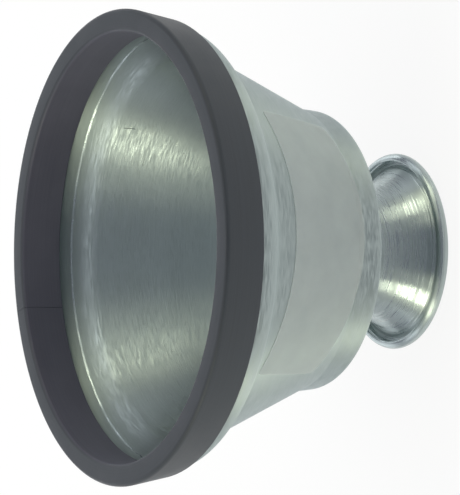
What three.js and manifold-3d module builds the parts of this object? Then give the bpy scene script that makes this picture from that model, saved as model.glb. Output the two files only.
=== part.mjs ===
// Plunger mute for a tenor trombone: a spun aluminium bowl with a rubber edging,
// and a flared aluminium knob that a screw holds to the bowl's floor.
//
// The mute stands on its knob with its mouth up. The origin is the middle of the
// knob's rim where it rests, +Z points up out of the mouth, and -Y faces the reader
// of the film on the cone. All sizes are in millimetres, angles in degrees.

import * as THREE from 'three';
import { mergeVertices } from 'three/addons/utils/BufferGeometryUtils.js';
import Module from 'manifold-3d';

const wasm = await Module();
wasm.setup();

// Overall
const muteHeight = 101.8;
const rimRadius = 73;
const seatGap = 0.3;
const cutOverrun = 2;
const weldReach = 0.0001;

// Rubber edging
const edgingWidth = 6.9;
const edgingLeg = 13.75;
const edgingCrown = 3;
const edgingTaper = 10.7;
const edgingOuterCorner = 1.3;
const edgingInnerCorner = 1.1;
const edgingHeelCorner = 0.5;
const buttGap = 0.35;
const buttTurn = 197.2;

// Bowl
const bowlWall = 1.2;
const lipInset = 4.3;
const stepAngle = 56.4;
const stepWidth = 8;
const stepDrop = 9.45;
const stepCurveShare = 0.43;
const stepFillet = 5.4;
const bandTopRadius = 44;
const bandBottomInset = 0.93;
const bandHeight = 9.55;
const bandFillet = 3;
const shoulderCurve = 3.2;
const floorHeight = 31.05;

// Knob
const knobWall = 1;
const knobNeckRadius = 15.5;
const knobNeckCorner = 2;
const flareStartHeight = 29.5;
const grooveWidth = 3.95;
const grooveCorner = 0.9;
const knobRimRadius = 31.1;
const knobRimCurve = 1.4;
const knobRimOverlap = 12;

// Fasteners
const screwRadius = 2.45;
const screwClearance = 0.3;
const screwHeadRadius = 4.7;
const screwHeadHeight = 3.2;
const screwHeadEdge = 1.2;
const screwTail = 1.6;
const screwPoint = 0.5;
const crossLength = 5;
const crossWidth = 1.1;
const crossDepth = 1.8;
const washerRadius = 7.5;
const washerThickness = 1;
const seatWasherRadius = 13;
const seatWasherThickness = 1;
const springRadius = 4.5;
const springThickness = 1.2;
const springSlit = 0.8;
const springSlitTilt = 20;
const nutWidth = 8;
const nutHeight = 4;
const nutChamfer = 0.5;

// Film on the cone
const filmLength = 83.9;
const filmDrop = 8.9;
const filmOverhang = 2.05;
const filmThickness = 0.2;
const filmShift = 2.88;
const filmTilt = 3.9;
const filmCorner = 1.5;

// Fineness of the round stretches
const ringSides = 60;
const knobSides = 48;
const fineRingSides = 24;
const shoulderSteps = 4;
const bandSteps = 2;
const stepFilletSteps = 4;
const stepCurveSteps = 6;
const edgingCornerSteps = 3;
const heelCornerSteps = 2;
const neckCornerSteps = 3;
const flareSteps = 7;
const grooveSteps = 2;
const knobRimSteps = 8;
const headCrownSteps = 4;
const filmColumns = 20;
const filmRows = 6;

// Worked out from the sizes above
const lipRadius = rimRadius - lipInset;
const lipHeight = muteHeight - edgingCrown - seatGap;
const edgingInnerRadius = rimRadius - edgingWidth;
const edgingHeel = muteHeight - edgingLeg;
const slotHalf = bowlWall / 2 + seatGap;
const stepHeight = edgingHeel - stepDrop;
const coneTopRadius = lipRadius - stepWidth;
const floorMiddle = floorHeight + bowlWall / 2;
const floorTop = floorHeight + bowlWall;
const bandTopHeight = floorMiddle + bandHeight;
const bandBottomRadius = bandTopRadius - bandBottomInset;
const knobTop = floorHeight - seatWasherThickness - 2 * seatGap;
const holeRadius = screwRadius + screwClearance;

const radians = ( angle ) => THREE.MathUtils.degToRad( angle );
const degrees = ( angle ) => THREE.MathUtils.radToDeg( angle );

const coneSlope = ( coneTopRadius - bandTopRadius ) / ( stepHeight - bandTopHeight );
const coneAngle = Math.atan( coneSlope );


// Outlines

function point( radius, height ) {

	return new THREE.Vector2( radius, height );

}

// Points of an arc round a centre, from one angle to another. Zero points outwards.
function arc( centre, radius, from, to, steps ) {

	const points = [];
	for ( let i = 0; i <= steps; i ++ ) {

		const angle = radians( from + ( to - from ) * i / steps );
		points.push( point( centre.x + radius * Math.cos( angle ), centre.y + radius * Math.sin( angle ) ) );

	}

	return points;

}

// The arc that rounds the corner between two neighbours with the given radius.
function roundedCorner( before, corner, after, radius, steps ) {

	const back = before.clone().sub( corner ).normalize();
	const ahead = after.clone().sub( corner ).normalize();
	const half = Math.acos( THREE.MathUtils.clamp( back.dot( ahead ), - 1, 1 ) ) / 2;
	const inward = back.clone().add( ahead ).normalize();
	const centre = inward.multiplyScalar( radius / Math.sin( half ) ).add( corner );
	const start = back.clone().multiplyScalar( radius / Math.tan( half ) ).add( corner ).sub( centre );
	const sweep = Math.PI - 2 * half;
	const turn = back.cross( ahead ) > 0 ? - 1 : 1;
	const points = [];
	for ( let i = 0; i <= steps; i ++ ) {

		points.push( start.clone().rotateAround( new THREE.Vector2(), turn * sweep * i / steps ).add( centre ) );

	}

	return points;

}

// A line through corners, each rounded by its own radius. A corner without one stays sharp.
function roundedLine( corners ) {

	const points = [];
	corners.forEach( ( corner, index ) => {

		if ( corner.radius ) {

			const before = corners[ index - 1 ].at;
			const after = corners[ index + 1 ].at;
			points.push( ...roundedCorner( before, corner.at, after, corner.radius, corner.steps ) );

		} else {

			points.push( corner.at );

		}

	} );
	return points;

}

// The two faces of a sheet of even wall that follows a line, joined to one outline.
function sheetOutline( line, wall ) {

	const left = [];
	const right = [];
	line.forEach( ( at, index ) => {

		const before = line[ Math.max( index - 1, 0 ) ];
		const after = line[ Math.min( index + 1, line.length - 1 ) ];
		const enter = at.clone().sub( before );
		const leave = after.clone().sub( at );
		const enterUnit = enter.length() > 0 ? enter.normalize() : leave.clone().normalize();
		const leaveUnit = leave.length() > 0 ? leave.normalize() : enterUnit.clone();
		const along = enterUnit.clone().add( leaveUnit ).normalize();
		const stretch = wall / 2 / along.dot( leaveUnit );
		const side = new THREE.Vector2( - along.y, along.x ).multiplyScalar( stretch );
		left.push( at.clone().add( side ) );
		right.push( at.clone().sub( side ) );

	} );
	return [ ...left, ...right.reverse() ];

}


// Solids

// Turns an outline of radius and height round +Z.
function turned( outline, sides ) {

	const clockwise = THREE.ShapeUtils.isClockWise( outline );
	const ordered = clockwise ? outline.slice().reverse() : outline.slice();
	ordered.push( ordered[ 0 ].clone() );
	const geometry = new THREE.LatheGeometry( ordered, sides );
	geometry.rotateX( Math.PI / 2 );
	return welded( geometry );

}

// The same geometry with one vertex at each place.
function welded( geometry ) {

	geometry.deleteAttribute( 'normal' );
	geometry.deleteAttribute( 'uv' );
	return mergeVertices( geometry, weldReach );

}

function toSolid( geometry ) {

	const mesh = welded( geometry );
	return new wasm.Manifold( new wasm.Mesh( {
		numProp: 3,
		vertProperties: new Float32Array( mesh.attributes.position.array ),
		triVerts: new Uint32Array( mesh.index.array ),
	} ) );

}

function toGeometry( solid ) {

	const mesh = solid.getMesh();
	const geometry = new THREE.BufferGeometry();
	geometry.setAttribute( 'position', new THREE.BufferAttribute( mesh.vertProperties, 3 ) );
	geometry.setIndex( new THREE.BufferAttribute( mesh.triVerts, 1 ) );
	return geometry;

}

// A flat ring round the screw, from its underside up.
function washerGeometry( outerRadius, underside, thickness ) {

	const top = underside + thickness;
	return turned( [
		point( holeRadius, underside ),
		point( outerRadius, underside ),
		point( outerRadius, top ),
		point( holeRadius, top ),
	], fineRingSides );

}

function part( name, geometry, material ) {

	const mesh = new THREE.Mesh( geometry, material );
	mesh.name = name;
	return mesh;

}


// Materials

function spunAluminium() {

	return new THREE.MeshStandardMaterial( { color: 0x9aa5a4, roughness: 0.34, metalness: 1 } );

}

function zincSteel() {

	return new THREE.MeshStandardMaterial( { color: 0xa9abaa, roughness: 0.35, metalness: 1 } );

}

function greyRubber() {

	return new THREE.MeshStandardMaterial( { color: 0x3f4447, roughness: 0.55, metalness: 0 } );

}

function softWasherRubber() {

	return new THREE.MeshStandardMaterial( { color: 0x2a2c2d, roughness: 0.8, metalness: 0 } );

}

function clearFilm() {

	return new THREE.MeshStandardMaterial( {
		color: 0xe4ebe8,
		roughness: 0.25,
		metalness: 0,
		transparent: true,
		opacity: 0.3,
	} );

}


// Bowl

// Middle of the bowl's wall, from the screw's hole out over the floor and up to the lip.
function bowlLine() {

	const stepRise = stepWidth / Math.tan( radians( stepAngle ) );
	const stepLength = stepWidth / Math.sin( radians( stepAngle ) );
	const stepCurve = stepLength * stepCurveShare / Math.tan( radians( stepAngle / 2 ) );
	return roundedLine( [
		{ at: point( holeRadius, floorMiddle ) },
		{ at: point( bandBottomRadius, floorMiddle ), radius: shoulderCurve, steps: shoulderSteps },
		{ at: point( bandTopRadius, bandTopHeight ), radius: bandFillet, steps: bandSteps },
		{ at: point( coneTopRadius, stepHeight ), radius: stepFillet, steps: stepFilletSteps },
		{ at: point( lipRadius, stepHeight + stepRise ), radius: stepCurve, steps: stepCurveSteps },
		{ at: point( lipRadius, lipHeight ) },
	] );

}

function bowlShell() {

	return part( 'bowl_shell', turned( sheetOutline( bowlLine(), bowlWall ), ringSides ), spunAluminium() );

}

// Rubber edging

// Radius of the tapered outer face at a height. The face touches the rounded front corner,
// and the corner's widest place is the rim radius.
function edgingOuterAt( height ) {

	const taper = radians( edgingTaper );
	const cornerHeight = muteHeight - edgingOuterCorner;
	const reach = edgingOuterCorner + ( height - cornerHeight ) * Math.sin( taper );
	return rimRadius - edgingOuterCorner + reach / Math.cos( taper );

}

// The U section of the channel, mouth side up, with its slot over the bowl's lip.
function edgingOutline() {

	const crownUnderside = muteHeight - edgingCrown;
	const outerHeelRadius = edgingOuterAt( edgingHeel );
	const outerTopRadius = edgingOuterAt( muteHeight );
	return roundedLine( [
		{ at: point( lipRadius + slotHalf, crownUnderside ) },
		{ at: point( lipRadius + slotHalf, edgingHeel ) },
		{ at: point( outerHeelRadius, edgingHeel ), radius: edgingHeelCorner, steps: heelCornerSteps },
		{ at: point( outerTopRadius, muteHeight ), radius: edgingOuterCorner, steps: edgingCornerSteps },
		{ at: point( edgingInnerRadius, muteHeight ), radius: edgingInnerCorner, steps: edgingCornerSteps },
		{ at: point( edgingInnerRadius, edgingHeel ), radius: edgingHeelCorner, steps: heelCornerSteps },
		{ at: point( lipRadius - slotHalf, edgingHeel ) },
		{ at: point( lipRadius - slotHalf, crownUnderside ) },
	] );

}

// The strip is closed round the lip and its two ends butt together with a hairline between.
function rimEdging() {

	const ring = toSolid( turned( edgingOutline(), ringSides ) );
	const cutHeight = edgingLeg + 2 * cutOverrun;
	const cutWidth = edgingWidth + 2 * cutOverrun;
	const cut = new THREE.BoxGeometry( buttGap, cutWidth, cutHeight );
	cut.translate( 0, - lipRadius, muteHeight - edgingLeg / 2 );
	cut.rotateZ( radians( buttTurn ) );
	return part( 'rim_edging', toGeometry( ring.subtract( toSolid( cut ) ) ), greyRubber() );

}

// Knob

// Middle of the knob's wall, from the screw's hole over the top, down the flare,
// out along the base and forward round the rim. The flare is one arc that stands
// straight at its start height and ends on the base at the groove.
function knobLine() {

	const topMiddle = knobTop - knobWall / 2;
	const baseMiddle = knobWall / 2;
	const neckMiddle = knobNeckRadius - knobWall / 2;
	const grooveRadius = knobRimRadius - grooveWidth;
	const spread = grooveRadius - neckMiddle;
	const drop = flareStartHeight - baseMiddle;
	const flareRadius = ( spread ** 2 + drop ** 2 ) / ( 2 * spread );
	const flareCentre = point( neckMiddle + flareRadius, flareStartHeight );
	const angleAt = ( height ) => degrees( Math.asin( ( flareStartHeight - height ) / flareRadius ) );
	const neckRadius = flareCentre.x - flareRadius * Math.cos( radians( angleAt( topMiddle ) ) );
	const flareFrom = angleAt( topMiddle - 2 * knobNeckCorner );
	const flareTo = angleAt( baseMiddle + grooveCorner );
	const flare = arc( flareCentre, flareRadius, 180 + flareFrom, 180 + flareTo, flareSteps );
	const curlCentre = point( knobRimRadius - knobWall / 2 - knobRimCurve, baseMiddle + knobRimCurve );
	const turn = roundedLine( [
		{ at: point( holeRadius, topMiddle ) },
		{ at: point( neckRadius, topMiddle ), radius: knobNeckCorner, steps: neckCornerSteps },
		...flare.map( ( at ) => ( { at } ) ),
		{ at: point( grooveRadius, baseMiddle ), radius: grooveCorner, steps: grooveSteps },
		{ at: point( curlCentre.x, baseMiddle ) },
	] );
	const curl = arc( curlCentre, knobRimCurve, - 90, 90 + knobRimOverlap, knobRimSteps );
	return [ ...turn.slice( 0, - 1 ), ...curl ];

}

function knobHorn() {

	return part( 'knob_horn', turned( sheetOutline( knobLine(), knobWall ), knobSides ), spunAluminium() );

}

// Fasteners, from the bowl's inside down into the knob

const headWasherUnderside = floorTop + seatGap;
const headUnderside = headWasherUnderside + washerThickness + seatGap;
const nutWasherUnderside = knobTop - knobWall - seatGap - washerThickness;
const springUnderside = nutWasherUnderside - seatGap - springThickness;
const nutUnderside = springUnderside - seatGap - nutHeight;
const screwEnd = nutUnderside - screwTail;

// A pan head with a low crowned top and a cross recess, on a plain shank.
function knobScrew() {

	const crown = screwHeadHeight - screwHeadEdge;
	const crownAngle = 180 - 2 * degrees( Math.atan2( screwHeadRadius, crown ) );
	const crownRadius = screwHeadRadius / Math.sin( radians( crownAngle ) );
	const crownCentre = point( 0, headUnderside + screwHeadHeight - crownRadius );
	const outline = [
		point( 0, screwEnd ),
		point( screwRadius - screwPoint, screwEnd ),
		point( screwRadius, screwEnd + screwPoint ),
		point( screwRadius, headUnderside ),
		point( screwHeadRadius, headUnderside ),
		...arc( crownCentre, crownRadius, 90 - crownAngle, 90, headCrownSteps ),
	];
	const body = toSolid( turned( outline, fineRingSides ) );
	const recess = new THREE.BoxGeometry( crossLength, crossWidth, 2 * crossDepth );
	recess.translate( 0, 0, headUnderside + screwHeadHeight );
	const otherRecess = recess.clone().rotateZ( Math.PI / 2 );
	const cross = toSolid( recess ).add( toSolid( otherRecess ) );
	return part( 'knob_screw', toGeometry( body.subtract( cross ) ), zincSteel() );

}

function headWasher() {

	return part( 'head_washer', washerGeometry( washerRadius, headWasherUnderside, washerThickness ), zincSteel() );

}

function seatWasher() {

	const ring = washerGeometry( seatWasherRadius, knobTop + seatGap, seatWasherThickness );
	return part( 'seat_washer', ring, softWasherRubber() );

}

function nutWasher() {

	return part( 'nut_washer', washerGeometry( washerRadius, nutWasherUnderside, washerThickness ), zincSteel() );

}

// One turn of square wire, cut by a slanted slit.
function springWasher() {

	const ring = washerGeometry( springRadius, springUnderside, springThickness );
	const slit = new THREE.BoxGeometry( springRadius, springSlit, 2 * springThickness );
	slit.rotateX( radians( springSlitTilt ) );
	slit.translate( ( springRadius + holeRadius ) / 2, 0, springUnderside + springThickness / 2 );
	return part( 'spring_washer', toGeometry( toSolid( ring ).subtract( toSolid( slit ) ) ), zincSteel() );

}

// A hexagon with a bored middle, its corners turned off at both ends.
function knobNut() {

	const cornerRadius = nutWidth / 2 / Math.cos( Math.PI / 6 );
	const hexagon = new THREE.CylinderGeometry( cornerRadius, cornerRadius, nutHeight, 6 );
	hexagon.rotateX( Math.PI / 2 );
	hexagon.translate( 0, 0, nutUnderside + nutHeight / 2 );
	const top = nutUnderside + nutHeight;
	const turning = turned( [
		point( holeRadius, nutUnderside ),
		point( nutWidth / 2, nutUnderside ),
		point( cornerRadius, nutUnderside + nutChamfer ),
		point( cornerRadius, top - nutChamfer ),
		point( nutWidth / 2, top ),
		point( holeRadius, top ),
	], fineRingSides );
	return part( 'knob_nut', toGeometry( toSolid( hexagon ).intersect( toSolid( turning ) ) ), zincSteel() );

}

// Film on the cone

// Slants are measured along the cone's middle surface from its point.
const coneTopSlant = coneTopRadius / Math.sin( coneAngle );
const kinkSlant = bandTopRadius / Math.sin( coneAngle );
const bandAngle = Math.atan( bandBottomInset / bandHeight );
const filmTopSlant = coneTopSlant - filmDrop;
const filmWidth = ( filmTopSlant - kinkSlant + filmOverhang ) / Math.cos( radians( filmTilt ) );

// A place on the film: across and down from its middle top, laid flat, and the lift off the metal.
// The flat film is wrapped round the cone, and below the cone it follows the band.
function filmPoint( across, down, lift ) {

	const tilt = radians( filmTilt );
	const flatX = filmShift + across * Math.cos( tilt ) - down * Math.sin( tilt );
	const flatY = filmTopSlant - across * Math.sin( tilt ) - down * Math.cos( tilt );
	const along = Math.hypot( flatX, flatY ) - kinkSlant;
	const turn = Math.atan2( flatX, flatY ) / Math.sin( coneAngle );
	const outside = bowlWall / 2 + lift;
	const faceAngle = along > 0 ? coneAngle : bandAngle;
	const radius = bandTopRadius + along * Math.sin( faceAngle ) + outside * Math.cos( faceAngle );
	const height = bandTopHeight + along * Math.cos( faceAngle ) - outside * Math.sin( faceAngle );
	return new THREE.Vector3( radius * Math.sin( turn ), - radius * Math.cos( turn ), height );

}

// How far the film's end is drawn in near its rounded corners, at a distance down its edge.
function cornerInset( down ) {

	const fromEdge = Math.min( down, filmWidth - down );
	const rise = Math.max( filmCorner - fromEdge, 0 );
	return filmCorner - Math.sqrt( filmCorner ** 2 - rise ** 2 );

}

// Rows across the film: evenly spaced between the corners, closer in them.
function filmRowPlaces() {

	const places = [];
	for ( let i = 0; i <= filmRows; i ++ ) {

		places.push( filmWidth * i / filmRows );

	}

	const cornerRow = filmCorner * ( 1 - Math.SQRT1_2 );
	places.splice( 1, 0, cornerRow, filmCorner );
	places.splice( places.length - 1, 0, filmWidth - filmCorner, filmWidth - cornerRow );
	return places;

}

function nameFilm() {

	const rows = filmRowPlaces();
	const columnCount = filmColumns + 1;
	const places = [];
	for ( const lift of [ seatGap, seatGap + filmThickness ] ) {

		for ( const down of rows ) {

			const half = filmLength / 2 - cornerInset( down );
			for ( let column = 0; column < columnCount; column ++ ) {

				const across = half * ( 2 * column / filmColumns - 1 );
				places.push( ...filmPoint( across, down, lift ).toArray() );

			}

		}

	}

	const layer = rows.length * columnCount;
	const faces = [];
	const addSquare = ( a, b, c, d ) => faces.push( a, b, c, a, c, d );
	for ( let row = 0; row < rows.length - 1; row ++ ) {

		for ( let column = 0; column < filmColumns; column ++ ) {

			const a = row * columnCount + column;
			const b = a + 1;
			const c = b + columnCount;
			const d = a + columnCount;
			addSquare( a, b, c, d );
			addSquare( layer + d, layer + c, layer + b, layer + a );

		}

	}

	const addWall = ( from, to ) => addSquare( from, layer + from, layer + to, to );
	const lastRow = ( rows.length - 1 ) * columnCount;
	for ( let column = 0; column < filmColumns; column ++ ) {

		addWall( column, column + 1 );
		addWall( lastRow + column + 1, lastRow + column );

	}

	for ( let row = 0; row < rows.length - 1; row ++ ) {

		const start = row * columnCount;
		addWall( start + columnCount, start );
		addWall( start + filmColumns, start + filmColumns + columnCount );

	}

	const geometry = new THREE.BufferGeometry();
	geometry.setAttribute( 'position', new THREE.Float32BufferAttribute( places, 3 ) );
	geometry.setIndex( faces );
	return part( 'name_film', geometry, clearFilm() );

}


const mute = new THREE.Group();
mute.add(
	bowlShell(),
	rimEdging(),
	knobHorn(),
	knobScrew(),
	headWasher(),
	seatWasher(),
	nutWasher(),
	springWasher(),
	knobNut(),
	nameFilm(),
);

export default mute;
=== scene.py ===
import math

import bmesh
import bpy
import numpy as np
from mathutils import Matrix, Vector

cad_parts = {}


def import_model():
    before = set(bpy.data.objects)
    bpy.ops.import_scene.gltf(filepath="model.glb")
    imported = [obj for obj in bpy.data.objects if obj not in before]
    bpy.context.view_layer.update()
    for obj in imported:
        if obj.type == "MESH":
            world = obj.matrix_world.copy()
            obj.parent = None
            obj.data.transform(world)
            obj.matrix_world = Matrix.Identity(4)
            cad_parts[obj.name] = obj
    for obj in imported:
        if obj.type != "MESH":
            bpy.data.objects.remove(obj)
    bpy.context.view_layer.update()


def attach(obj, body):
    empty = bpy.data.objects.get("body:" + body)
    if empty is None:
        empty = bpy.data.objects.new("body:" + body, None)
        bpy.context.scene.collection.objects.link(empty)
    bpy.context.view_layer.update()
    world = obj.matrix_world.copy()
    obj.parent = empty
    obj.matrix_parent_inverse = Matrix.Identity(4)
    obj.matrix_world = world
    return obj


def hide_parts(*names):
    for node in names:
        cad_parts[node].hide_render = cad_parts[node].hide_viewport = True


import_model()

# Sizes are in millimetres and angles in degrees. The mute stands on its knob, mouth up.
MM = 0.001

MUTE_HEIGHT = 101.8
RIM_RADIUS = 72.97
SEAT_GAP = 0.3

EDGING_WIDTH = 6.87
EDGING_LEG = 13.75
EDGING_CROWN = 3.0
EDGING_TAPER = 10.7
EDGING_OUTER_CORNER = 1.3
EDGING_INNER_CORNER = 1.1
EDGING_HEEL_CORNER = 0.5
BUTT_GAP = 0.12
BUTT_TURN = 197.2

BOWL_WALL = 1.2
LIP_RADIUS = 68.7
STEP_ANGLE = 56.4
STEP_WIDTH = 8.0
STEP_DROP = 9.45
STEP_CURVE = 7.7
STEP_FILLET = 5.4
BAND_TOP_RADIUS = 44.0
BAND_BOTTOM_RADIUS = 43.07
BAND_HEIGHT = 9.55
BAND_FILLET = 3.0
SHOULDER_CURVE = 3.2
FLOOR_HEIGHT = 31.05
SHEET_EDGE = 0.25

# A dug scratch inside the bowl. It leans and bows as it climbs.
SCRATCH_HEIGHT = 74.6
SCRATCH_HALF = 1.9
SCRATCH_SIDE = 38.2
SCRATCH_SLANT = 0.08
SCRATCH_BOW = 0.035
SCRATCH_CORE = 0.05
SCRATCH_EDGE = 0.18
SCRATCH_TIP = 0.75

# A line burnished in the step, at an angle of its curve, and the matt metal round it
BURNISHED_ANGLE = 36.6
BURNISHED_CORE = 0.1
BURNISHED_EDGE = 0.5
MATT_START = (-5.0, -1.5)
MATT_END = (12.0, 14.0)

KNOB_WALL = 1.0
KNOB_NECK_RADIUS = 15.5
KNOB_NECK_CORNER = 2.0
FLARE_START_HEIGHT = 29.5
GROOVE_WIDTH = 3.95
GROOVE_CORNER = 1.9
KNOB_RIM_RADIUS = 31.1
KNOB_RIM_CURVE = 1.4
KNOB_RIM_OVERLAP = 12.0

SCREW_RADIUS = 2.45
SCREW_CLEARANCE = 0.3
SCREW_HEAD_RADIUS = 4.7
SCREW_HEAD_HEIGHT = 3.2
SCREW_HEAD_EDGE = 1.2
SCREW_HEAD_CORNER = 0.1
SCREW_TAIL = 1.6
SCREW_TIP_CUT = 0.3
SCREW_TIP_TAPER = 0.5
THREAD_PITCH = 0.8
THREAD_DEPTH = 0.4
THREAD_SLOPE = 1.6
THREAD_ROOT = 0.3
CROSS_LENGTH = 5.0
CROSS_WIDTH = 1.1
CROSS_DEPTH = 1.8
WASHER_RADIUS = 7.5
WASHER_THICKNESS = 1.0
WASHER_EDGE = 0.15
SEAT_WASHER_RADIUS = 13.0
SEAT_WASHER_THICKNESS = 1.0
SPRING_RADIUS = 4.5
SPRING_THICKNESS = 1.2
SPRING_CLIMB = 0.15
SPRING_SLIT_ANGLE = 14.0
NUT_WIDTH = 8.0
NUT_HEIGHT = 4.0
NUT_CHAMFER = 0.5
NUT_FACE_INSET = 0.15
NUT_BORE_ROOM = 0.02

FILM_LENGTH = 83.9
FILM_DROP = 8.9
FILM_OVERHANG = 2.05
FILM_LIFT = 0.1
FILM_THICKNESS = 0.12
FILM_SHIFT = 2.88
FILM_TILT = 3.9
FILM_CORNER = 1.5
FILM_BEND = 1.2

HEEL = MUTE_HEIGHT - EDGING_LEG
STEP_HEIGHT = HEEL - STEP_DROP
CONE_TOP_RADIUS = LIP_RADIUS - STEP_WIDTH
FLOOR_MIDDLE = FLOOR_HEIGHT + BOWL_WALL / 2
FLOOR_TOP = FLOOR_HEIGHT + BOWL_WALL
BAND_TOP_HEIGHT = FLOOR_MIDDLE + BAND_HEIGHT
KNOB_TOP = FLOOR_HEIGHT - SEAT_WASHER_THICKNESS - 2 * SEAT_GAP
HOLE_RADIUS = SCREW_RADIUS + SCREW_CLEARANCE
HEAD_WASHER_UNDERSIDE = FLOOR_TOP + SEAT_GAP
HEAD_UNDERSIDE = HEAD_WASHER_UNDERSIDE + WASHER_THICKNESS + SEAT_GAP
NUT_WASHER_UNDERSIDE = KNOB_TOP - KNOB_WALL - SEAT_GAP - WASHER_THICKNESS
SPRING_UNDERSIDE = NUT_WASHER_UNDERSIDE - SEAT_GAP - SPRING_THICKNESS
NUT_UNDERSIDE = SPRING_UNDERSIDE - SEAT_GAP - NUT_HEIGHT
SCREW_END = NUT_UNDERSIDE - SCREW_TAIL

# Radians, and slant lengths from the cone's own tip
CONE_ANGLE = math.atan2(CONE_TOP_RADIUS - BAND_TOP_RADIUS, STEP_HEIGHT - BAND_TOP_HEIGHT)
BAND_ANGLE = math.atan2(BAND_TOP_RADIUS - BAND_BOTTOM_RADIUS, BAND_HEIGHT)
KINK_SLANT = BAND_TOP_RADIUS / math.sin(CONE_ANGLE)
FILM_TOP_SLANT = CONE_TOP_RADIUS / math.sin(CONE_ANGLE) - FILM_DROP

# Fineness of the meshes: degrees per step of an arc, and counts of sides, rows and columns
ARC_STEP = 4.0
EDGING_ARC_STEP = 10.0
FLARE_ARC_STEP = 1.5
CURL_ARC_STEP = 8.0
WASHER_ARC_STEP = 30.0
SHEET_EDGE_POINTS = 4
BOWL_SIDES = 360
EDGING_SIDES = 360
KNOB_SIDES = 256
WASHER_SIDES = 96
SCREW_SIDES = 64
SPRING_SIDES = 72
NUT_SIDES = 96
NUT_BORE_ROWS = 36
THREAD_ROWS_PER_TURN = 12
FILM_COLUMNS = 160
FILM_ROWS = 64
FILM_CORNER_ANGLES = (0, 22.5, 45, 67.5, 90)
SHARP_ANGLE = 32
NUT_SHARP_ANGLE = 25
FULL_TURN = 2 * math.pi

# Noise: the range that nearly all of it fills
NOISE_LOW = 0.3
NOISE_HIGH = 0.7

# Marks on turned metal: how fast each changes round the axis, and along the outline per
# millimetre. The shifts keep them apart.
HAIRLINE_ROUND, HAIRLINE_ALONG = 1.6, 3.2
STROKE_ALONG, STROKE_SHIFT = 2.2, 31.0
BAND_ROUND, BAND_ALONG, BAND_SHIFT = 0.7, 0.16, 57.0

# Lines of the extruded rubber, in the same measures
EXTRUSION_ROUND, EXTRUSION_ALONG = 1.2, 3.4

# Metals. A quarter turn of the anisotropy spreads the light across the rings.
BOWL_TINT = (0.445, 0.511, 0.503)
BOWL_ROUGHNESS = 0.5
BOWL_STROKE_ROUND = 14.0
KNOB_TINT = (0.47, 0.537, 0.528)
KNOB_ROUGHNESS = 0.32
KNOB_STROKE_ROUND = 1.8
DARK_TINT_SHARE = 0.84
LIGHT_TINT_SHARE = 1.16
MATT_ROUGHNESS = 0.18
BURNISHED_GLOSS = 0.42
SPREAD_ACROSS_RINGS = 0.25
HAIRLINE_DEPTH = 0.02
STROKE_DEPTH = 0.04
SCRATCH_COLOUR = (0.12, 0.14, 0.14, 1)

# Pairs of colours that a noise mixes
RUBBER_OUTER = ((0.038, 0.044, 0.053, 1), (0.060, 0.069, 0.082, 1))
# The inner side's lighter colour is painted light.
RUBBER_INNER_PAINTED_LIGHT = ((0.084, 0.082, 0.112, 1), (0.128, 0.126, 0.165, 1))
# The front face's darker colour is painted shade.
RUBBER_FRONT_PAINTED_SHADE = ((0.017, 0.021, 0.027, 1), (0.031, 0.037, 0.046, 1))
ZINC = ((0.50, 0.51, 0.52, 1), (0.66, 0.66, 0.64, 1))
WASHER_RUBBER = ((0.018, 0.018, 0.02, 1), (0.032, 0.032, 0.035, 1))
FILM_BODY = (0.84, 0.885, 0.89, 1)
FILM_CLEAR = (0.93, 0.95, 0.94, 1)

# Studio, in metres and watts
PAPER_GREY = (0.85, 0.85, 0.85, 1)
PAPER_WHITE = (1, 1, 1, 1)
PAPER_SEEN_WHITE = 0.88
PAPER_MIRRORED_WHITE = 0.78
FLOOR_SIZE = 8
WORLD_COLOUR = (0.834, 0.86, 1.0, 1)
WORLD_STRENGTH = 0.31
CAMERA_PLACE = (0.0005, -0.97102, 0.58604)
CAMERA_RIGHT = (0.01332, -0.47540, -0.87967)
CAMERA_UP = (0.99991, 0.00633, 0.01172)
CAMERA_LENS = 258.19
CAMERA_SENSOR = 36
CAMERA_CLIP = (0.05, 50)
MIDDLE_HEIGHT = 0.06
LAMP_DISTANCE = 1.5
LOW_LAMP_DISTANCE = 0.7
WARM = (1.0, 0.985, 0.74)
NEUTRAL = (0.97, 0.985, 1.0)
# Name, azimuth, elevation, size, power, colour, distance. An azimuth of zero is +X.
LAMPS = (
    ("lamp_left", 200, 26, (0.52, 0.3), 5.2, WARM, LAMP_DISTANCE),
    ("lamp_left_side", 188, 30, (0.6, 0.4), 0.9, WARM, LAMP_DISTANCE),
    ("lamp_left_high", 205, 50, (0.8, 0.5), 1.4, WARM, LAMP_DISTANCE),
    ("lamp_left_wide", 198, 30, (2.2, 0.7), 1.6, WARM, LAMP_DISTANCE),
    ("lamp_right", 343, 26, (0.6, 0.3), 1.9, WARM, LAMP_DISTANCE),
    ("lamp_right_side", 356, 30, (0.6, 0.4), 1.5, WARM, LAMP_DISTANCE),
    ("lamp_right_high", 340, 50, (0.8, 0.5), 1.5, WARM, LAMP_DISTANCE),
    ("lamp_right_wide", 345, 30, (2.2, 0.7), 0.8, WARM, LAMP_DISTANCE),
    ("lamp_over", 90, 88, (1.8, 0.6), 3.6, NEUTRAL, LAMP_DISTANCE),
    ("lamp_back", 92, 52, (1.8, 0.8), 4, NEUTRAL, LAMP_DISTANCE),
    ("lamp_back_high", 90, 72, (1.8, 0.6), 5.5, NEUTRAL, LAMP_DISTANCE),
    ("lamp_back_low", 90, 12, (1.2, 0.25), 1.5, NEUTRAL, LOW_LAMP_DISTANCE),
    ("lamp_back_left", 150, 30, (0.8, 0.6), 1.4, NEUTRAL, LAMP_DISTANCE),
    ("lamp_back_right", 30, 30, (0.8, 0.6), 1.3, NEUTRAL, LAMP_DISTANCE),
)


# Outlines, as lists of (radius, height)

def arc(centre, radius, start, end, step=ARC_STEP):
    """Points of an arc from one angle to another. Zero points outwards."""
    count = max(2, math.ceil(abs(end - start) / step))
    angles = np.radians(np.linspace(start, end, count + 1))
    return [(centre[0] + radius * math.cos(a), centre[1] + radius * math.sin(a)) for a in angles]


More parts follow.
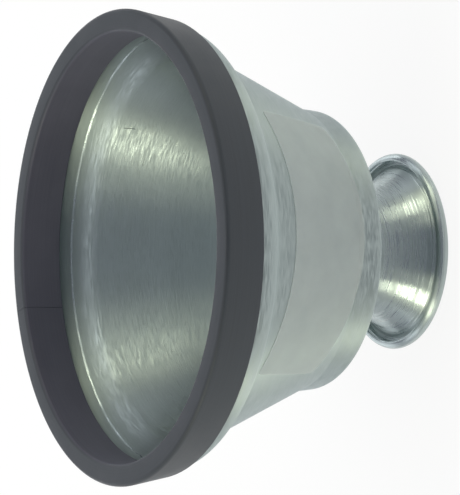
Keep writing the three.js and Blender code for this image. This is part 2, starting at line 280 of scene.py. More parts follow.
def rounded_corner(before, corner, after, radius, step):
    """The arc that rounds a corner between the points before and after it."""
    corner = Vector(corner)
    back = (Vector(before) - corner).normalized()
    ahead = (Vector(after) - corner).normalized()
    half = back.angle(ahead) / 2
    centre = corner + (back + ahead).normalized() * radius / math.sin(half)
    first = corner + back * radius / math.tan(half) - centre
    last = corner + ahead * radius / math.tan(half) - centre
    start = math.degrees(math.atan2(first.y, first.x))
    sweep = (math.degrees(math.atan2(last.y, last.x)) - start + 180) % 360 - 180
    return arc(centre, radius, start, start + sweep, step)


def rounded_line(corners, step=ARC_STEP):
    """A line through corners of (radius, height, rounding)."""
    points = []
    for index, (x, y, rounding) in enumerate(corners):
        if rounding:
            before = corners[index - 1][:2]
            after = corners[(index + 1) % len(corners)][:2]
            points += rounded_corner(before, (x, y), after, rounding, step)
        else:
            points.append((x, y))
    return points


def sheet_outline(line, wall):
    """Both faces of a sheet that follows a line, joined by rounded edges."""
    line = np.array(line)
    ahead = np.diff(line, axis=0)
    ahead /= np.linalg.norm(ahead, axis=1)[:, None]
    enter = np.vstack([ahead[:1], ahead])
    leave = np.vstack([ahead, ahead[-1:]])
    along = enter + leave
    along /= np.linalg.norm(along, axis=1)[:, None]
    stretch = wall / 2 / (along * leave).sum(axis=1)
    side = np.stack([-along[:, 1], along[:, 0]], axis=1) * stretch[:, None]
    left, right = line + side, line - side

    def end(place, across, out):
        """A rounded sheet edge at one end of the line, from the left face to the right."""
        half = wall / 2 - SHEET_EDGE
        turns = np.radians(np.linspace(0, 90, SHEET_EDGE_POINTS))

        def corner_point(towards, turn):
            beside = towards * (half + SHEET_EDGE * math.cos(turn))
            return place + beside + out * SHEET_EDGE * (math.sin(turn) - 1)

        first = [corner_point(across, t) for t in turns]
        last = [corner_point(-across, t) for t in turns[::-1]]
        return first + last

    finish = end(line[-1], side[-1] / (wall / 2), ahead[-1])
    start = end(line[0], side[0] / (wall / 2), -ahead[0])
    return [tuple(p) for p in [*left[1:-1], *finish, *right[1:-1][::-1], *start[::-1]]]


def path_lengths(outline):
    """Millimetres along a closed outline to each point, and to the first point again."""
    closed = np.array([*outline, outline[0]])
    steps = np.linalg.norm(np.diff(closed, axis=0), axis=1)
    return np.concatenate([[0], np.cumsum(steps)])


def length_at(outline, place):
    """Millimetres along a closed outline to its point nearest a place."""
    nearest = np.linalg.norm(np.array(outline) - np.array(place), axis=1).argmin()
    return float(path_lengths(outline)[nearest])


# Meshes

def finished(name, points, faces, places, slot, node, material, sharp=SHARP_ANGLE):
    """A mesh object in metres with its flat places, riding on the frame in a CAD node's stead."""
    mesh = bpy.data.meshes.new(name)
    mesh.from_pydata([tuple(np.array(p) * MM) for p in points], [], faces)
    layer = mesh.uv_layers.new(name="places")
    flat = np.array([place for face in places for place in face], np.float32)
    layer.data.foreach_set("uv", flat.ravel())
    made = bmesh.new()
    made.from_mesh(mesh)
    bmesh.ops.recalc_face_normals(made, faces=made.faces)
    made.to_mesh(mesh)
    made.free()
    mesh.polygons.foreach_set("use_smooth", [True] * len(mesh.polygons))
    mesh.set_sharp_from_angle(angle=math.radians(sharp))
    piece = bpy.data.objects.new(name, mesh)
    bpy.context.scene.collection.objects.link(piece)
    piece.data.materials.append(material)
    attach(piece, "root")
    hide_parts(node)
    return piece


def point_at(radius, angle, height):
    """A point in space, at an angle in radians round the axis."""
    return radius * math.cos(angle), radius * math.sin(angle), height


def column_faces(steps, columns, count):
    """Faces from each column of points to the next. The last column may be the first again."""
    faces = []
    for column in range(steps):
        near, far = column * count, (column + 1) % columns * count
        for row in range(count):
            after = (row + 1) % count
            faces.append((near + row, near + after, far + after, far + row))
    return faces


def column_places(across, along):
    """Flat places of the corners of those faces, from those of the columns and the rows."""
    places = []
    for u0, u1 in zip(across, across[1:]):
        for v0, v1 in zip(along, along[1:]):
            places.append(((u0, v0), (u0, v1), (u1, v1), (u1, v0)))
    return places


def turned(outline, sides, start=0.0, sweep=360.0):
    """Points, faces and places of a closed outline turned round the axis."""
    whole = sweep >= 360
    columns = sides if whole else sides + 1
    count = len(outline)
    points = []
    for column in range(columns):
        angle = math.radians(start + sweep * column / sides)
        points += [point_at(radius, angle, height) for radius, height in outline]
    lengths = path_lengths(outline)
    faces = column_faces(sides, columns, count)
    places = column_places([column / sides for column in range(sides + 1)], lengths)
    if not whole:
        last = (columns - 1) * count
        faces += [tuple(range(count)), tuple(range(last, last + count))]
        places += [[(end, length) for length in lengths[:-1]] for end in (0, 1)]
    return points, faces, places


# Shader helpers

def add(tree, kind, inputs=None, **settings):
    """A shader node. An input takes a number, a colour or another node's output."""
    made = tree.nodes.new(kind)
    for key, value in settings.items():
        setattr(made, key, value)
    for key, value in (inputs or {}).items():
        if isinstance(value, bpy.types.NodeSocket):
            tree.links.new(value, made.inputs[key])
        else:
            made.inputs[key].default_value = value
    return made


def maths(tree, operation, first, second=0.0):
    """The result of a sum on two numbers or sockets."""
    inputs = {0: first, 1: second}
    return add(tree, "ShaderNodeMath", inputs, operation=operation).outputs[0]


def ramp(tree, value, low, high, to_low=0.0, to_high=1.0):
    """A value's range carried to another range, held at both ends."""
    made = add(tree, "ShaderNodeMapRange", {0: value, 1: low, 2: high, 3: to_low, 4: to_high})
    return made.outputs[0]


def spread(tree, value, low, high):
    """A noise carried to a range."""
    return ramp(tree, value, NOISE_LOW, NOISE_HIGH, low, high)


def either_way(tree, value, most):
    """A noise carried to as much above zero as below it."""
    return spread(tree, value, -most, most)


def blend(tree, share, first, second):
    """A mix of two colours."""
    made = tree.nodes.new("ShaderNodeMix")
    made.data_type = "RGBA"
    pairs = ((made.inputs[0], share), (made.inputs[6], first), (made.inputs[7], second))
    for socket, value in pairs:
        if isinstance(value, bpy.types.NodeSocket):
            tree.links.new(value, socket)
        else:
            socket.default_value = value
    return made.outputs[2]


def new_material(name):
    """A material with its empty node tree and output."""
    material = bpy.data.materials.new(name)
    material.use_nodes = True
    tree = material.node_tree
    tree.nodes.clear()
    output = tree.nodes.new("ShaderNodeOutputMaterial")
    return material, tree, output


def mixed_shaders(tree, output, share, first, second):
    """Two shaders mixed as a material's surface."""
    mixed = add(tree, "ShaderNodeMixShader", {0: share})
    tree.links.new(first.outputs[0], mixed.inputs[1])
    tree.links.new(second.outputs[0], mixed.inputs[2])
    tree.links.new(mixed.outputs[0], output.inputs[0])


def ring_vector(tree, round_scale, along_scale, shift=0.0):
    """A place that changes slowly round the axis and fast along the outline, with no seam."""
    coordinates = tree.nodes.new("ShaderNodeTexCoord")
    split = add(tree, "ShaderNodeSeparateXYZ", {0: coordinates.outputs["Object"]})
    flat = add(tree, "ShaderNodeCombineXYZ", {0: split.outputs[0], 1: split.outputs[1]})
    unit = add(tree, "ShaderNodeVectorMath", {0: flat.outputs[0]}, operation="NORMALIZE")
    inputs = {0: unit.outputs[0], "Scale": round_scale}
    scaled = add(tree, "ShaderNodeVectorMath", inputs, operation="SCALE")
    parts = add(tree, "ShaderNodeSeparateXYZ", {0: scaled.outputs[0]})
    along = maths(tree, "MULTIPLY_ADD", uv_length(tree, coordinates), along_scale)
    along.node.inputs[2].default_value = shift
    joined = add(tree, "ShaderNodeCombineXYZ", {0: parts.outputs[0], 1: parts.outputs[1], 2: along})
    return joined.outputs[0]


def uv_length(tree, coordinates):
    """Millimetres along the outline of a turned piece."""
    return add(tree, "ShaderNodeSeparateXYZ", {0: coordinates.outputs["UV"]}).outputs[1]


def noise(tree, vector, scale=1.0, detail=2.0, roughness=0.5):
    """A noise between 0 and 1 at a place."""
    inputs = {"Vector": vector, "Scale": scale, "Detail": detail, "Roughness": roughness}
    return add(tree, "ShaderNodeTexNoise", inputs).outputs[0]


# Materials

def scratch_mark(tree, coordinates):
    """One short dug scratch in the bowl, from 0 beside it to 1 in it."""
    split = add(tree, "ShaderNodeSeparateXYZ", {0: coordinates.outputs["Object"]})
    x, y, height = split.outputs[0], split.outputs[1], split.outputs[2]
    past = maths(tree, "SUBTRACT", height, SCRATCH_HEIGHT * MM)
    bow = maths(tree, "MULTIPLY", maths(tree, "MULTIPLY", past, past), SCRATCH_BOW / MM)
    slant = maths(tree, "MULTIPLY", past, SCRATCH_SLANT)
    middle = maths(tree, "SUBTRACT", maths(tree, "ADD", slant, SCRATCH_SIDE * MM), bow)
    beside = maths(tree, "ABSOLUTE", maths(tree, "SUBTRACT", x, middle))
    across = ramp(tree, beside, SCRATCH_CORE * MM, SCRATCH_EDGE * MM, 1.0, 0.0)
    reach = maths(tree, "ABSOLUTE", past)
    along = ramp(tree, reach, SCRATCH_HALF * SCRATCH_TIP * MM, SCRATCH_HALF * MM, 1.0, 0.0)
    on_its_side = ramp(tree, y, 0.0, MM)
    return maths(tree, "MULTIPLY", maths(tree, "MULTIPLY", across, along), on_its_side)


def burnished_change(tree, coordinates, burnished):
    """What the burnished line and the matt metal round it add to the roughness."""
    past = maths(tree, "SUBTRACT", uv_length(tree, coordinates), burnished)
    matt_in = ramp(tree, past, *MATT_START, 0.0, MATT_ROUGHNESS)
    matt_out = ramp(tree, past, *MATT_END, MATT_ROUGHNESS, 0.0)
    matt = maths(tree, "MINIMUM", matt_in, matt_out)
    beside = maths(tree, "ABSOLUTE", past)
    return matt, ramp(tree, beside, BURNISHED_CORE, BURNISHED_EDGE, BURNISHED_GLOSS, 0.0)


def spun_aluminium(name, tint, roughness, stroke_round, burnished=None):
    """Turned metal: rings that vary in tone and roughness, with the light spread across them.

    The bowl's metal has a burnished line, given by its length along the outline, and a scratch.
    """
    material, tree, output = new_material(name)
    coordinates = tree.nodes.new("ShaderNodeTexCoord")
    hairline_vector = ring_vector(tree, HAIRLINE_ROUND, HAIRLINE_ALONG)
    hairlines = noise(tree, hairline_vector, roughness=0.65)
    strokes = noise(tree, ring_vector(tree, stroke_round, STROKE_ALONG, STROKE_SHIFT))
    bands = noise(tree, ring_vector(tree, BAND_ROUND, BAND_ALONG, BAND_SHIFT), detail=1.0)
    patches = noise(tree, coordinates.outputs["Object"], scale=38.0, detail=3.0)

    tone = either_way(tree, hairlines, 0.14)
    for marks, most in ((strokes, 0.14), (bands, 0.08), (patches, 0.06)):
        tone = maths(tree, "ADD", tone, either_way(tree, marks, most))
    dark = tuple(c * DARK_TINT_SHARE for c in tint) + (1,)
    light = tuple(min(c * LIGHT_TINT_SHARE, 1) for c in tint) + (1,)
    colour = blend(tree, maths(tree, "ADD", tone, 0.5), dark, light)

    rough = maths(tree, "ADD", roughness, either_way(tree, hairlines, 0.06))
    rough = maths(tree, "ADD", rough, either_way(tree, strokes, 0.15))
    if burnished:
        colour = blend(tree, scratch_mark(tree, coordinates), colour, SCRATCH_COLOUR)
        matt, line = burnished_change(tree, coordinates, burnished)
        rough = maths(tree, "SUBTRACT", maths(tree, "ADD", rough, matt), line)

    fine = add(tree, "ShaderNodeBump", {
        "Strength": 1.0, "Distance": HAIRLINE_DEPTH * MM, "Height": hairlines,
    })
    bump = add(tree, "ShaderNodeBump", {
        "Strength": 1.0, "Distance": STROKE_DEPTH * MM, "Height": strokes,
        "Normal": fine.outputs[0],
    })
    tangent = add(tree, "ShaderNodeTangent", direction_type="RADIAL", axis="Z")
    surface = add(tree, "ShaderNodeBsdfPrincipled", {
        "Base Color": colour, "Metallic": 1.0, "Roughness": rough, "Anisotropic": 0.95,
        "Anisotropic Rotation": SPREAD_ACROSS_RINGS, "Normal": bump.outputs[0],
        "Tangent": tangent.outputs[0],
    })
    tree.links.new(surface.outputs[0], output.inputs[0])
    return material


def edging_rubber(front_start, front_end):
    """Extruded rubber, darkest on its front face by painted shade, and lighter on its inner side by
    painted light.

    Along its outline, the outer side comes before the front face and the inner side after it.
    """
    material, tree, output = new_material("edging_rubber")
    coordinates = tree.nodes.new("ShaderNodeTexCoord")
    grain = noise(tree, coordinates.outputs["Object"], scale=2600.0)
    cloud = noise(tree, coordinates.outputs["Object"], scale=60.0, detail=4.0, roughness=0.6)
    line_vector = ring_vector(tree, EXTRUSION_ROUND, EXTRUSION_ALONG)
    lines = noise(tree, line_vector, detail=3.0, roughness=0.7)

    tone = maths(tree, "ADD", either_way(tree, cloud, 0.16), either_way(tree, lines, 0.2))
    tone = maths(tree, "ADD", tone, 0.5)
    outer = blend(tree, tone, *RUBBER_OUTER)
    inner = blend(tree, tone, *RUBBER_INNER_PAINTED_LIGHT)
    front = blend(tree, tone, *RUBBER_FRONT_PAINTED_SHADE)
    past_front = ramp(tree, uv_length(tree, coordinates), front_start, front_end)
    # The inner side's lighter colour here is painted light.
    walls_with_painted_light = blend(tree, past_front, outer, inner)
    # Faces turned up take the front colour, which is painted shade.
    up_facing_shade_mask = add(tree, "ShaderNodeSeparateXYZ", {0: coordinates.outputs["Normal"]}).outputs[2]
    colour = blend(tree, ramp(tree, up_facing_shade_mask, 0.3, 0.9), walls_with_painted_light, front)

    rough = maths(tree, "ADD", 0.50, spread(tree, cloud, -0.06, 0.08))
    height = maths(tree, "ADD", maths(tree, "MULTIPLY", grain, 0.5), lines)
    bump = add(tree, "ShaderNodeBump", {
        "Strength": 0.35, "Distance": 0.05 * MM, "Height": height,
    })
    surface = add(tree, "ShaderNodeBsdfPrincipled", {
        "Base Color": colour, "Roughness": rough, "Specular IOR Level": 0.35,
        "Normal": bump.outputs[0],
    })
    tree.links.new(surface.outputs[0], output.inputs[0])
    return material


def zinc_steel():
    """Zinc plating with a faint bloom."""
    material, tree, output = new_material("zinc_plated_steel")
    coordinates = tree.nodes.new("ShaderNodeTexCoord")
    cloud = noise(tree, coordinates.outputs["Object"], scale=500.0, detail=3.0)
    colour = blend(tree, cloud, *ZINC)
    bump = add(tree, "ShaderNodeBump", {"Strength": 0.2, "Distance": 0.02 * MM, "Height": cloud})
    surface = add(tree, "ShaderNodeBsdfPrincipled", {
        "Base Color": colour, "Metallic": 1.0, "Roughness": spread(tree, cloud, 0.26, 0.42),
        "Normal": bump.outputs[0],
    })
    tree.links.new(surface.outputs[0], output.inputs[0])
    return material


def soft_rubber():
    """Matt black rubber with a fine grain."""
    material, tree, output = new_material("washer_rubber")
    coordinates = tree.nodes.new("ShaderNodeTexCoord")
    grain = noise(tree, coordinates.outputs["Object"], scale=1500.0, detail=3.0)
    colour = blend(tree, grain, *WASHER_RUBBER)
    bump = add(tree, "ShaderNodeBump", {"Strength": 0.3, "Distance": 0.04 * MM, "Height": grain})
    surface = add(tree, "ShaderNodeBsdfPrincipled", {
        "Base Color": colour, "Roughness": 0.75, "Normal": bump.outputs[0],
    })
    tree.links.new(surface.outputs[0], output.inputs[0])
    return material


def clear_film():
    """Clear film with a slight haze, through which the metal shows."""
    material, tree, output = new_material("clear_film")
    coordinates = tree.nodes.new("ShaderNodeTexCoord")
    cloud = noise(tree, coordinates.outputs["Object"], scale=90.0, detail=3.0)
    bump = add(tree, "ShaderNodeBump", {"Strength": 0.12, "Distance": 0.2 * MM, "Height": cloud})
    body = add(tree, "ShaderNodeBsdfPrincipled", {
        "Base Color": FILM_BODY, "Roughness": spread(tree, cloud, 0.36, 0.44),
        "Normal": bump.outputs[0],
    })
    clear = add(tree, "ShaderNodeBsdfTransparent", {"Color": FILM_CLEAR})
    mixed_shaders(tree, output, spread(tree, cloud, 0.30, 0.35), clear, body)
    return material


def floor_paper():
    """Pale paper that looks white to the camera and in metal, and still takes shadows."""
    material, tree, output = new_material("floor_paper")
    rays = tree.nodes.new("ShaderNodeLightPath").outputs
    seen = maths(tree, "MAXIMUM", rays["Is Camera Ray"], rays["Is Transmission Ray"])
    seen = maths(tree, "MULTIPLY", seen, PAPER_SEEN_WHITE)
    mirrored = maths(tree, "MULTIPLY", rays["Is Glossy Ray"], PAPER_MIRRORED_WHITE)
    paper = add(tree, "ShaderNodeBsdfDiffuse", {"Color": PAPER_GREY})
    white = add(tree, "ShaderNodeEmission", {"Color": PAPER_WHITE, "Strength": 1.0})
    mixed_shaders(tree, output, maths(tree, "MAXIMUM", seen, mirrored), paper, white)
    return material


# Pieces

def bowl():
    """A spun sheet: floor, shoulder, band, cone, step and lip."""
    rise = STEP_WIDTH / math.tan(math.radians(STEP_ANGLE))
    line = rounded_line([
        (HOLE_RADIUS, FLOOR_MIDDLE, 0),
        (BAND_BOTTOM_RADIUS, FLOOR_MIDDLE, SHOULDER_CURVE),
        (BAND_TOP_RADIUS, BAND_TOP_HEIGHT, BAND_FILLET),
        (CONE_TOP_RADIUS, STEP_HEIGHT, STEP_FILLET),
        (LIP_RADIUS, STEP_HEIGHT + rise, STEP_CURVE),
        (LIP_RADIUS, MUTE_HEIGHT - EDGING_CROWN - SEAT_GAP, 0),
    ])
    outline = sheet_outline(line, BOWL_WALL)
    lift = STEP_CURVE * math.tan(math.radians(STEP_ANGLE / 2))
    bend = (LIP_RADIUS - STEP_CURVE, STEP_HEIGHT + rise + lift)
    burnished_place = arc(bend, STEP_CURVE - BOWL_WALL / 2, 0, -BURNISHED_ANGLE)[-1]
    metal = spun_aluminium("bowl_aluminium", BOWL_TINT, BOWL_ROUGHNESS, BOWL_STROKE_ROUND,
                           length_at(outline, burnished_place))
    return finished("spun_bowl", *turned(outline, BOWL_SIDES),
                    "spun_aluminium", "bowl_shell", metal)


def edging_outer_at(height):
    """Radius of the tapered outer face at a height."""
    taper = math.radians(EDGING_TAPER)
    corner_height = MUTE_HEIGHT - EDGING_OUTER_CORNER
    reach = EDGING_OUTER_CORNER + (height - corner_height) * math.sin(taper)
    return RIM_RADIUS - EDGING_OUTER_CORNER + reach / math.cos(taper)


def edging():
    """A rubber channel bent round the lip, with a gap where its ends meet."""
    slot_half = BOWL_WALL / 2 + SEAT_GAP
    crown = MUTE_HEIGHT - EDGING_CROWN
    inner = RIM_RADIUS - EDGING_WIDTH
    outline = rounded_line([
        (LIP_RADIUS + slot_half, crown, 0),
        (LIP_RADIUS + slot_half, HEEL, 0),
        (edging_outer_at(HEEL), HEEL, EDGING_HEEL_CORNER),
        (edging_outer_at(MUTE_HEIGHT), MUTE_HEIGHT, EDGING_OUTER_CORNER),
        (inner, MUTE_HEIGHT, EDGING_INNER_CORNER),
        (inner, HEEL, EDGING_HEEL_CORNER),
        (LIP_RADIUS - slot_half, HEEL, 0),
        (LIP_RADIUS - slot_half, crown, 0),
    ], step=EDGING_ARC_STEP)
    gap = math.degrees(BUTT_GAP / LIP_RADIUS)
    start = BUTT_TURN - 90 + gap / 2
    front_start = length_at(outline, (RIM_RADIUS - EDGING_OUTER_CORNER, MUTE_HEIGHT))
    front_end = length_at(outline, (inner + EDGING_INNER_CORNER, MUTE_HEIGHT))
    return finished("rubber_edging", *turned(outline, EDGING_SIDES, start, 360 - gap),
                    "grey_rubber", "rim_edging", edging_rubber(front_start, front_end))


def knob():
    """A spun horn: a flat top, a flare in one arc, a groove and a curled rim."""
    top = KNOB_TOP - KNOB_WALL / 2
    base = KNOB_WALL / 2
    neck = KNOB_NECK_RADIUS - KNOB_WALL / 2
    groove = KNOB_RIM_RADIUS - GROOVE_WIDTH
    reach = groove - neck
    drop = FLARE_START_HEIGHT - base
    flare = (reach ** 2 + drop ** 2) / (2 * reach)
    centre = (neck + flare, FLARE_START_HEIGHT)

    def angle_at(height):
        return math.degrees(math.asin((FLARE_START_HEIGHT - height) / flare))

    neck_at_top = centre[0] - flare * math.cos(math.radians(angle_at(top)))
    horn = arc(centre, flare, 180 + angle_at(top - 2 * KNOB_NECK_CORNER),
               180 + angle_at(base + GROOVE_CORNER), FLARE_ARC_STEP)
    curl = (KNOB_RIM_RADIUS - KNOB_WALL / 2 - KNOB_RIM_CURVE, base + KNOB_RIM_CURVE)
    line = rounded_line([
        (HOLE_RADIUS, top, 0),
        (neck_at_top, top, KNOB_NECK_CORNER),
        *[(x, y, 0) for x, y in horn],
        (groove, base, GROOVE_CORNER),
        (curl[0], base, 0),
    ])[:-1] + arc(curl, KNOB_RIM_CURVE, -90, 90 + KNOB_RIM_OVERLAP, CURL_ARC_STEP)
    metal = spun_aluminium("knob_aluminium", KNOB_TINT, KNOB_ROUGHNESS, KNOB_STROKE_ROUND)
    return finished("spun_knob", *turned(sheet_outline(line, KNOB_WALL), KNOB_SIDES),
                    "spun_aluminium", "knob_horn", metal)


def flat_ring(name, radius, underside, thickness, slot, node, material):
    """A washer with rounded edges."""
    top = underside + thickness
    outline = rounded_line([
        (HOLE_RADIUS, underside, WASHER_EDGE),
        (radius, underside, WASHER_EDGE),
        (radius, top, WASHER_EDGE),
        (HOLE_RADIUS, top, WASHER_EDGE),
    ], step=WASHER_ARC_STEP)
    return finished(name, *turned(outline, WASHER_SIDES), slot, node, material)


def thread_radius(height, angle, outer):
    """Radius of a screw thread of rounded ridges at a height and an angle."""
    phase = (height / THREAD_PITCH - angle / FULL_TURN) % 1
    ridge = min(1, max(0, THREAD_SLOPE * abs(phase - 0.5) * 2 - THREAD_ROOT))
    return outer - THREAD_DEPTH * (1 - ridge)


def shank_rows():
    """Rows of (radius, height) round the threaded shank, from its tapered tip up."""
    core = SCREW_RADIUS - THREAD_DEPTH
    rows = [[(core - SCREW_TIP_CUT, SCREW_END)] * SCREW_SIDES]
    height = SCREW_END
    while height < HEAD_UNDERSIDE - THREAD_PITCH / 2:
        taper = min(1, (height - SCREW_END) / SCREW_TIP_TAPER)
        most = SCREW_RADIUS - SCREW_TIP_TAPER * (1 - taper)
        row = []
        for side in range(SCREW_SIDES):
            radius = thread_radius(height, FULL_TURN * side / SCREW_SIDES, SCREW_RADIUS)
            row.append((min(radius, most), height))
        rows.append(row)
        height += THREAD_PITCH / THREAD_ROWS_PER_TURN
    return rows


def screw(material):
    """A pan head on a threaded shank, with a cross recess."""
    sides = SCREW_SIDES
    crown = SCREW_HEAD_HEIGHT - SCREW_HEAD_EDGE
    reach = 180 - 2 * math.degrees(math.atan2(SCREW_HEAD_RADIUS, crown))
    crown_radius = SCREW_HEAD_RADIUS / math.sin(math.radians(reach))
    crown_centre = (0, HEAD_UNDERSIDE + SCREW_HEAD_HEIGHT - crown_radius)
    core = SCREW_RADIUS - THREAD_DEPTH
    head = [
        (core, HEAD_UNDERSIDE - THREAD_PITCH / 3),
        (core, HEAD_UNDERSIDE),
        (SCREW_HEAD_RADIUS - SCREW_HEAD_CORNER, HEAD_UNDERSIDE),
        (SCREW_HEAD_RADIUS, HEAD_UNDERSIDE + SCREW_HEAD_CORNER),
        *arc(crown_centre, crown_radius, 90 - reach, 89),
    ]
    rows = shank_rows() + [[place] * sides for place in head]
    points = [point_at(radius, FULL_TURN * side / sides, height)
              for row in rows for side, (radius, height) in enumerate(row)]
    faces = column_faces(len(rows) - 1, len(rows), sides)
    turns = [side / sides for side in range(sides + 1)]
    places = [[(turn, row) for row, turn in corners]
              for corners in column_places(range(len(rows)), turns)]
    last = (len(rows) - 1) * sides
    faces += [tuple(range(sides)), tuple(range(last, last + sides))]
    places += [[(0, 0)] * sides, [(0, len(rows))] * sides]
    piece = finished("cross_screw", points, faces, places, "zinc_steel", "knob_screw", material)
    for turn in (0, 90):
        cut_box(piece, (CROSS_LENGTH, CROSS_WIDTH, 2 * CROSS_DEPTH),
                HEAD_UNDERSIDE + SCREW_HEAD_HEIGHT, turn)
    return piece


def cut_box(piece, size, height, turn):
    """Cuts a box out of a piece. The box's middle is on the axis at a height."""
    bpy.ops.mesh.primitive_cube_add(size=1)
    cutter = bpy.context.object
    cutter.data.transform(Matrix.Diagonal((*[s * MM for s in size], 1)))
    cutter.data.transform(Matrix.Rotation(math.radians(turn), 4, "Z"))
    cutter.data.transform(Matrix.Translation((0, 0, height * MM)))
    change = piece.modifiers.new("cut", "BOOLEAN")
    change.operation = "DIFFERENCE"
    change.solver = "EXACT"
    change.object = cutter
    bpy.context.view_layer.update()
    graph = bpy.context.evaluated_depsgraph_get()
    result = bpy.data.meshes.new_from_object(piece.evaluated_get(graph))
    piece.modifiers.clear()
    old = piece.data
    piece.data = result
    bpy.data.meshes.remove(old)
    bpy.data.objects.remove(cutter)
    result.set_sharp_from_angle(angle=math.radians(SHARP_ANGLE))


def spring(material):
    """One turn of square wire that climbs a little, so that its ends stand apart."""
    sides = SPRING_SIDES
    sweep = math.radians(360 - SPRING_SLIT_ANGLE)
    start = math.radians(SPRING_SLIT_ANGLE / 2)
    thickness = SPRING_THICKNESS - SPRING_CLIMB
    points = []
    for column in range(sides + 1):
        share = column / sides
        low = SPRING_UNDERSIDE + SPRING_CLIMB * share
        high = low + thickness
        section = ((HOLE_RADIUS, low), (SPRING_RADIUS, low),
                   (SPRING_RADIUS, high), (HOLE_RADIUS, high))
        points += [point_at(radius, start + sweep * share, height) for radius, height in section]
    faces = column_faces(sides, sides + 1, 4)
    places = column_places(range(sides + 1), range(5))
    for first in (0, sides * 4):
        faces.append(tuple(range(first, first + 4)))
        places.append(((0, 0),) * 4)
    return finished("split_washer", points, faces, places, "zinc_steel", "spring_washer", material)


def nut(material):
    """A hexagon with turned-off corners and a threaded bore."""
    sides = NUT_SIDES
    sixth = math.pi / 3
    top = NUT_UNDERSIDE + NUT_HEIGHT
    corner = NUT_WIDTH / 2 / math.cos(math.pi / 6)
    flat = NUT_WIDTH / 2 - NUT_FACE_INSET
    points = []
    for side in range(sides):
        angle = FULL_TURN * side / sides
        across = (angle + math.pi / 6) % sixth - math.pi / 6
        radius = NUT_WIDTH / 2 / math.cos(across)
        drop = NUT_CHAMFER * (radius - flat) / (corner - flat)
        column = [(flat, NUT_UNDERSIDE), (radius, NUT_UNDERSIDE + drop),
                  (radius, top - drop), (flat, top)]
        for row in range(NUT_BORE_ROWS + 1):
            height = top - NUT_HEIGHT * row / NUT_BORE_ROWS
            inner = thread_radius(height, angle, HOLE_RADIUS + THREAD_DEPTH)
            column.append((max(inner, HOLE_RADIUS + NUT_BORE_ROOM), height))
        points += [point_at(r, angle + math.pi / 6, h) for r, h in column]
    count = len(column)
    return finished("hexagon_nut", points, column_faces(sides, sides, count),
                    column_places(range(sides + 1), range(count + 1)),
                    "zinc_steel", "knob_nut", material, sharp=NUT_SHARP_ANGLE)


def film_point(across, down, lift):
    """A place on the film, laid flat and wrapped round the cone, and below it on the band."""
    tilt = math.radians(FILM_TILT)
    flat_x = FILM_SHIFT + across * math.cos(tilt) - down * math.sin(tilt)
    flat_y = FILM_TOP_SLANT - across * math.sin(tilt) - down * math.cos(tilt)
    along = math.hypot(flat_x, flat_y) - KINK_SLANT
    turn = math.atan2(flat_x, flat_y) / math.sin(CONE_ANGLE)
    share = min(1, max(0, along / FILM_BEND + 0.5))
    face = BAND_ANGLE + (CONE_ANGLE - BAND_ANGLE) * share
    slope = CONE_ANGLE if along > 0 else BAND_ANGLE
    outside = BOWL_WALL / 2 + lift
    radius = BAND_TOP_RADIUS + along * math.sin(slope) + outside * math.cos(face)
    height = BAND_TOP_HEIGHT + along * math.cos(slope) - outside * math.sin(face)
    return radius * math.sin(turn), -radius * math.cos(turn), height


def film_rows(width):
    """Places down the film, closer together in its rounded corners."""
    corner = [FILM_CORNER * (1 - math.cos(math.radians(a))) for a in FILM_CORNER_ANGLES]
    between = list(np.linspace(FILM_CORNER, width - FILM_CORNER, FILM_ROWS)[1:-1])
    return corner + between + [width - c for c in corner[::-1]]


def film():
    """A thin sheet with rounded corners: two layers of points joined along their border."""
    width = (FILM_TOP_SLANT - KINK_SLANT + FILM_OVERHANG) / math.cos(math.radians(FILM_TILT))
    rows = film_rows(width)
    columns = FILM_COLUMNS
    points, faces, places = [], [], []
    for lift in (FILM_LIFT, FILM_LIFT + FILM_THICKNESS):
        for down in rows:
            rise = max(FILM_CORNER - min(down, width - down), 0)
            round_end = math.sqrt(max(FILM_CORNER ** 2 - rise ** 2, 0))
            half = FILM_LENGTH / 2 - FILM_CORNER + round_end
            points += [film_point(half * (2 * c / columns - 1), down, lift)
                       for c in range(columns + 1)]
    stride = columns + 1
    layer = len(rows) * stride
    for base in (0, layer):
        for row in range(len(rows) - 1):
            for column in range(columns):
                first = base + row * stride + column
                faces.append((first, first + 1, first + stride + 1, first + stride))
                places.append(((column, row), (column + 1, row),
                               (column + 1, row + 1), (column, row + 1)))
    last = (len(rows) - 1) * stride
    border = [
        *range(columns + 1),
        *[row * stride + columns for row in range(1, len(rows))],
        *[last + column for column in range(columns - 1, -1, -1)],
        *[row * stride for row in range(len(rows) - 2, 0, -1)],
    ]
    for index, first in enumerate(border):
        second = border[(index + 1) % len(border)]
        faces.append((first, second, layer + second, layer + first))
        places.append(((index, 0), (index + 1, 0), (index + 1, 1), (index, 1)))
    return finished("clear_film", points, faces, places, "clear_film", "name_film", clear_film())


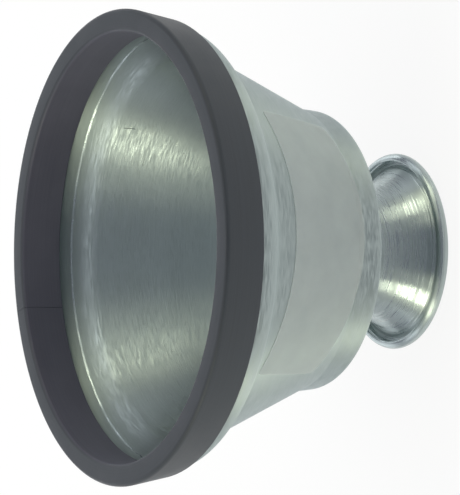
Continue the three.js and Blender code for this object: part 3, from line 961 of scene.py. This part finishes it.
def build():
    steel = zinc_steel()
    bowl()
    edging()
    knob()
    film()
    screw(steel)
    flat_ring("round_head_washer", WASHER_RADIUS, HEAD_WASHER_UNDERSIDE, WASHER_THICKNESS,
              "zinc_steel", "head_washer", steel)
    flat_ring("round_nut_washer", WASHER_RADIUS, NUT_WASHER_UNDERSIDE, WASHER_THICKNESS,
              "zinc_steel", "nut_washer", steel)
    flat_ring("round_seat_washer", SEAT_WASHER_RADIUS, KNOB_TOP + SEAT_GAP,
              SEAT_WASHER_THICKNESS, "soft_rubber", "seat_washer", soft_rubber())
    spring(steel)
    nut(steel)


# Studio

def lamp(name, azimuth, elevation, size, power, colour, distance):
    """A soft lamp that points at the mute's middle."""
    data = bpy.data.lights.new(name, "AREA")
    data.shape = "RECTANGLE"
    data.size, data.size_y = size
    data.energy = power
    data.color = colour
    made = bpy.data.objects.new(name, data)
    bpy.context.scene.collection.objects.link(made)
    turn, rise = math.radians(azimuth), math.radians(elevation)
    away = Vector(point_at(math.cos(rise), turn, math.sin(rise)))
    made.location = Vector((0, 0, MIDDLE_HEIGHT)) + away * distance
    made.rotation_euler = away.to_track_quat("Z", "Y").to_euler()


def floor():
    """A wide sheet of paper under the mute."""
    bpy.ops.mesh.primitive_plane_add(size=FLOOR_SIZE)
    made = bpy.context.object
    made.name = "studio_floor"
    made.data.materials.append(floor_paper())


def world():
    """Faint even light from all round."""
    made = bpy.data.worlds.new("studio")
    bpy.context.scene.world = made
    made.use_nodes = True
    tree = made.node_tree
    tree.nodes.clear()
    output = tree.nodes.new("ShaderNodeOutputWorld")
    light = add(tree, "ShaderNodeBackground", {"Color": WORLD_COLOUR, "Strength": WORLD_STRENGTH})
    tree.links.new(light.outputs[0], output.inputs[0])


def camera():
    """A camera from its place and the directions of the picture's right and top."""
    data = bpy.data.cameras.new("camera")
    data.sensor_width = CAMERA_SENSOR
    data.lens = CAMERA_LENS
    data.clip_start, data.clip_end = CAMERA_CLIP
    made = bpy.data.objects.new("camera", data)
    bpy.context.scene.collection.objects.link(made)
    right, up = Vector(CAMERA_RIGHT), Vector(CAMERA_UP)
    turn = Matrix((right, up, right.cross(up))).transposed()
    made.matrix_world = Matrix.Translation(CAMERA_PLACE) @ turn.to_4x4()
    bpy.context.scene.camera = made


def studio():
    floor()
    world()
    for settings in LAMPS:
        lamp(*settings)
    camera()
    bpy.context.scene.view_settings.view_transform = "Standard"


build()
studio()
